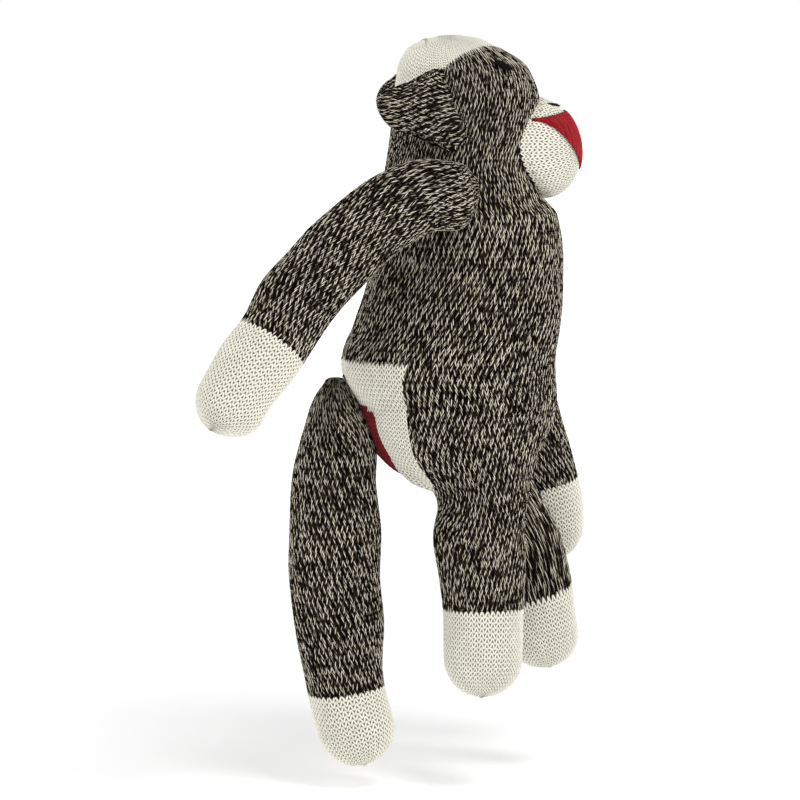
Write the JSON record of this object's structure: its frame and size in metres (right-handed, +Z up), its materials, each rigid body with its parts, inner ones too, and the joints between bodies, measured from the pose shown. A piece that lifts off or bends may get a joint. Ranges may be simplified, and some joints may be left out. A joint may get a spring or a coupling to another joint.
{
  "type": "stuffed toy monkey",
  "caption": "Knitted sock-style stuffed monkey with long floppy arms, legs and tail, cream hands, feet, crown and muzzle, red lips and rump patch.",
  "frame": {"origin": "middle of the waist, inside the body, where a hand or a doll stand holds the toy", "axes": "+Z up along the body to the head; the face looks along -Y; the monkey's right side is at -X and its left at +X"},
  "size_m": [0.1851, 0.2167, 0.344],
  "materials": {
    "marl_knit": "marled stockinette knit, matte",
    "cream_knit": "cream stockinette knit, matte",
    "red_knit": "red stockinette knit, matte",
    "black_thread": "black embroidery thread",
    "cream_thread": "cream sewing thread",
    "dark_thread": "dark sewing thread",
    "stuffing": "polyester fibre filling, loose"
  },
  "bodies": {
    "torso": {"torso_skin": "marl_knit", "torso_fill": "stuffing", "rump_cream": "cream_knit", "rump_red": "red_knit", "rump_stitch": "cream_thread", "right_shoulder_stitch": "dark_thread", "left_shoulder_stitch": "dark_thread", "tail_stitch": "dark_thread"},
    "head": {"head_skin": "marl_knit", "crown_cap": "cream_knit", "head_fill": "stuffing", "crown_seam": "cream_thread", "muzzle_skin": "cream_knit", "muzzle_fill": "stuffing", "lips": "red_knit", "muzzle_stitch": "cream_thread", "right_nostril": "black_thread", "left_nostril": "black_thread", "right_eye": "black_thread", "left_eye": "black_thread", "right_ear_stitch": "dark_thread", "left_ear_stitch": "dark_thread"},
    "right_ear": {"right_ear_skin": "marl_knit", "right_ear_fill": "stuffing"},
    "left_ear": {"left_ear_skin": "marl_knit", "left_ear_fill": "stuffing"},
    "right_arm": {"right_arm_skin": "marl_knit", "right_hand": "cream_knit", "right_arm_fill": "stuffing", "right_hand_seam": "cream_thread"},
    "left_arm": {"left_arm_skin": "marl_knit", "left_hand": "cream_knit", "left_arm_fill": "stuffing", "left_hand_seam": "cream_thread"},
    "right_leg": {"right_leg_skin": "marl_knit", "right_foot": "cream_knit", "right_leg_fill": "stuffing", "right_foot_seam": "cream_thread"},
    "left_leg": {"left_leg_skin": "marl_knit", "left_foot": "cream_knit", "left_leg_fill": "stuffing", "left_foot_seam": "cream_thread"},
    "tail": {"tail_skin": "marl_knit", "tail_tip": "cream_knit", "tail_fill": "stuffing", "tail_tip_seam": "cream_thread"}
  },
  "joints": [
    {"name": "neck_turn", "type": "hinge", "parent": "torso", "child": "head", "pos_m": [0, -0.004, 0.078], "axis": [0, 0, 1], "range_deg": [-30, 30], "stiffness_Nm_per_rad": 0.08},
    {"name": "right_shoulder", "type": "hinge", "parent": "torso", "child": "right_arm", "pos_m": [-0.055, 0.011, 0.066], "axis": [1, 0, 0], "range_deg": [-100, 30], "stiffness_Nm_per_rad": 0.05, "springref_deg": 8.02},
    {"name": "left_shoulder", "type": "hinge", "parent": "torso", "child": "left_arm", "pos_m": [0.055, 0.002, 0.064], "axis": [1, 0, 0], "range_deg": [-60, 90], "stiffness_Nm_per_rad": 0.05, "springref_deg": -5.16},
    {"name": "right_hip", "type": "hinge", "parent": "torso", "child": "right_leg", "pos_m": [-0.023, -0.008, -0.064], "axis": [1, 0, 0], "range_deg": [-75, 20], "stiffness_Nm_per_rad": 0.08},
    {"name": "left_hip", "type": "hinge", "parent": "torso", "child": "left_leg", "pos_m": [0.023, -0.017, -0.062], "axis": [1, 0, 0], "range_deg": [-55, 38], "stiffness_Nm_per_rad": 0.08, "springref_deg": -2.06},
    {"name": "tail_lift", "type": "hinge", "parent": "torso", "child": "tail", "pos_m": [0, 0.056, -0.024], "axis": [1, 0, 0], "range_deg": [0, 100]},
    {"name": "right_ear_fold", "type": "hinge", "parent": "head", "child": "right_ear", "pos_m": [-0.0315, 0.0077, 0.104], "axis": [0, 0, 1], "range_deg": [-15, 60], "stiffness_Nm_per_rad": 0.005},
    {"name": "left_ear_fold", "type": "hinge", "parent": "head", "child": "left_ear", "pos_m": [0.0315, 0.0077, 0.104], "axis": [0, 0, 1], "range_deg": [-13, 62], "stiffness_Nm_per_rad": 0.005}
  ]
}
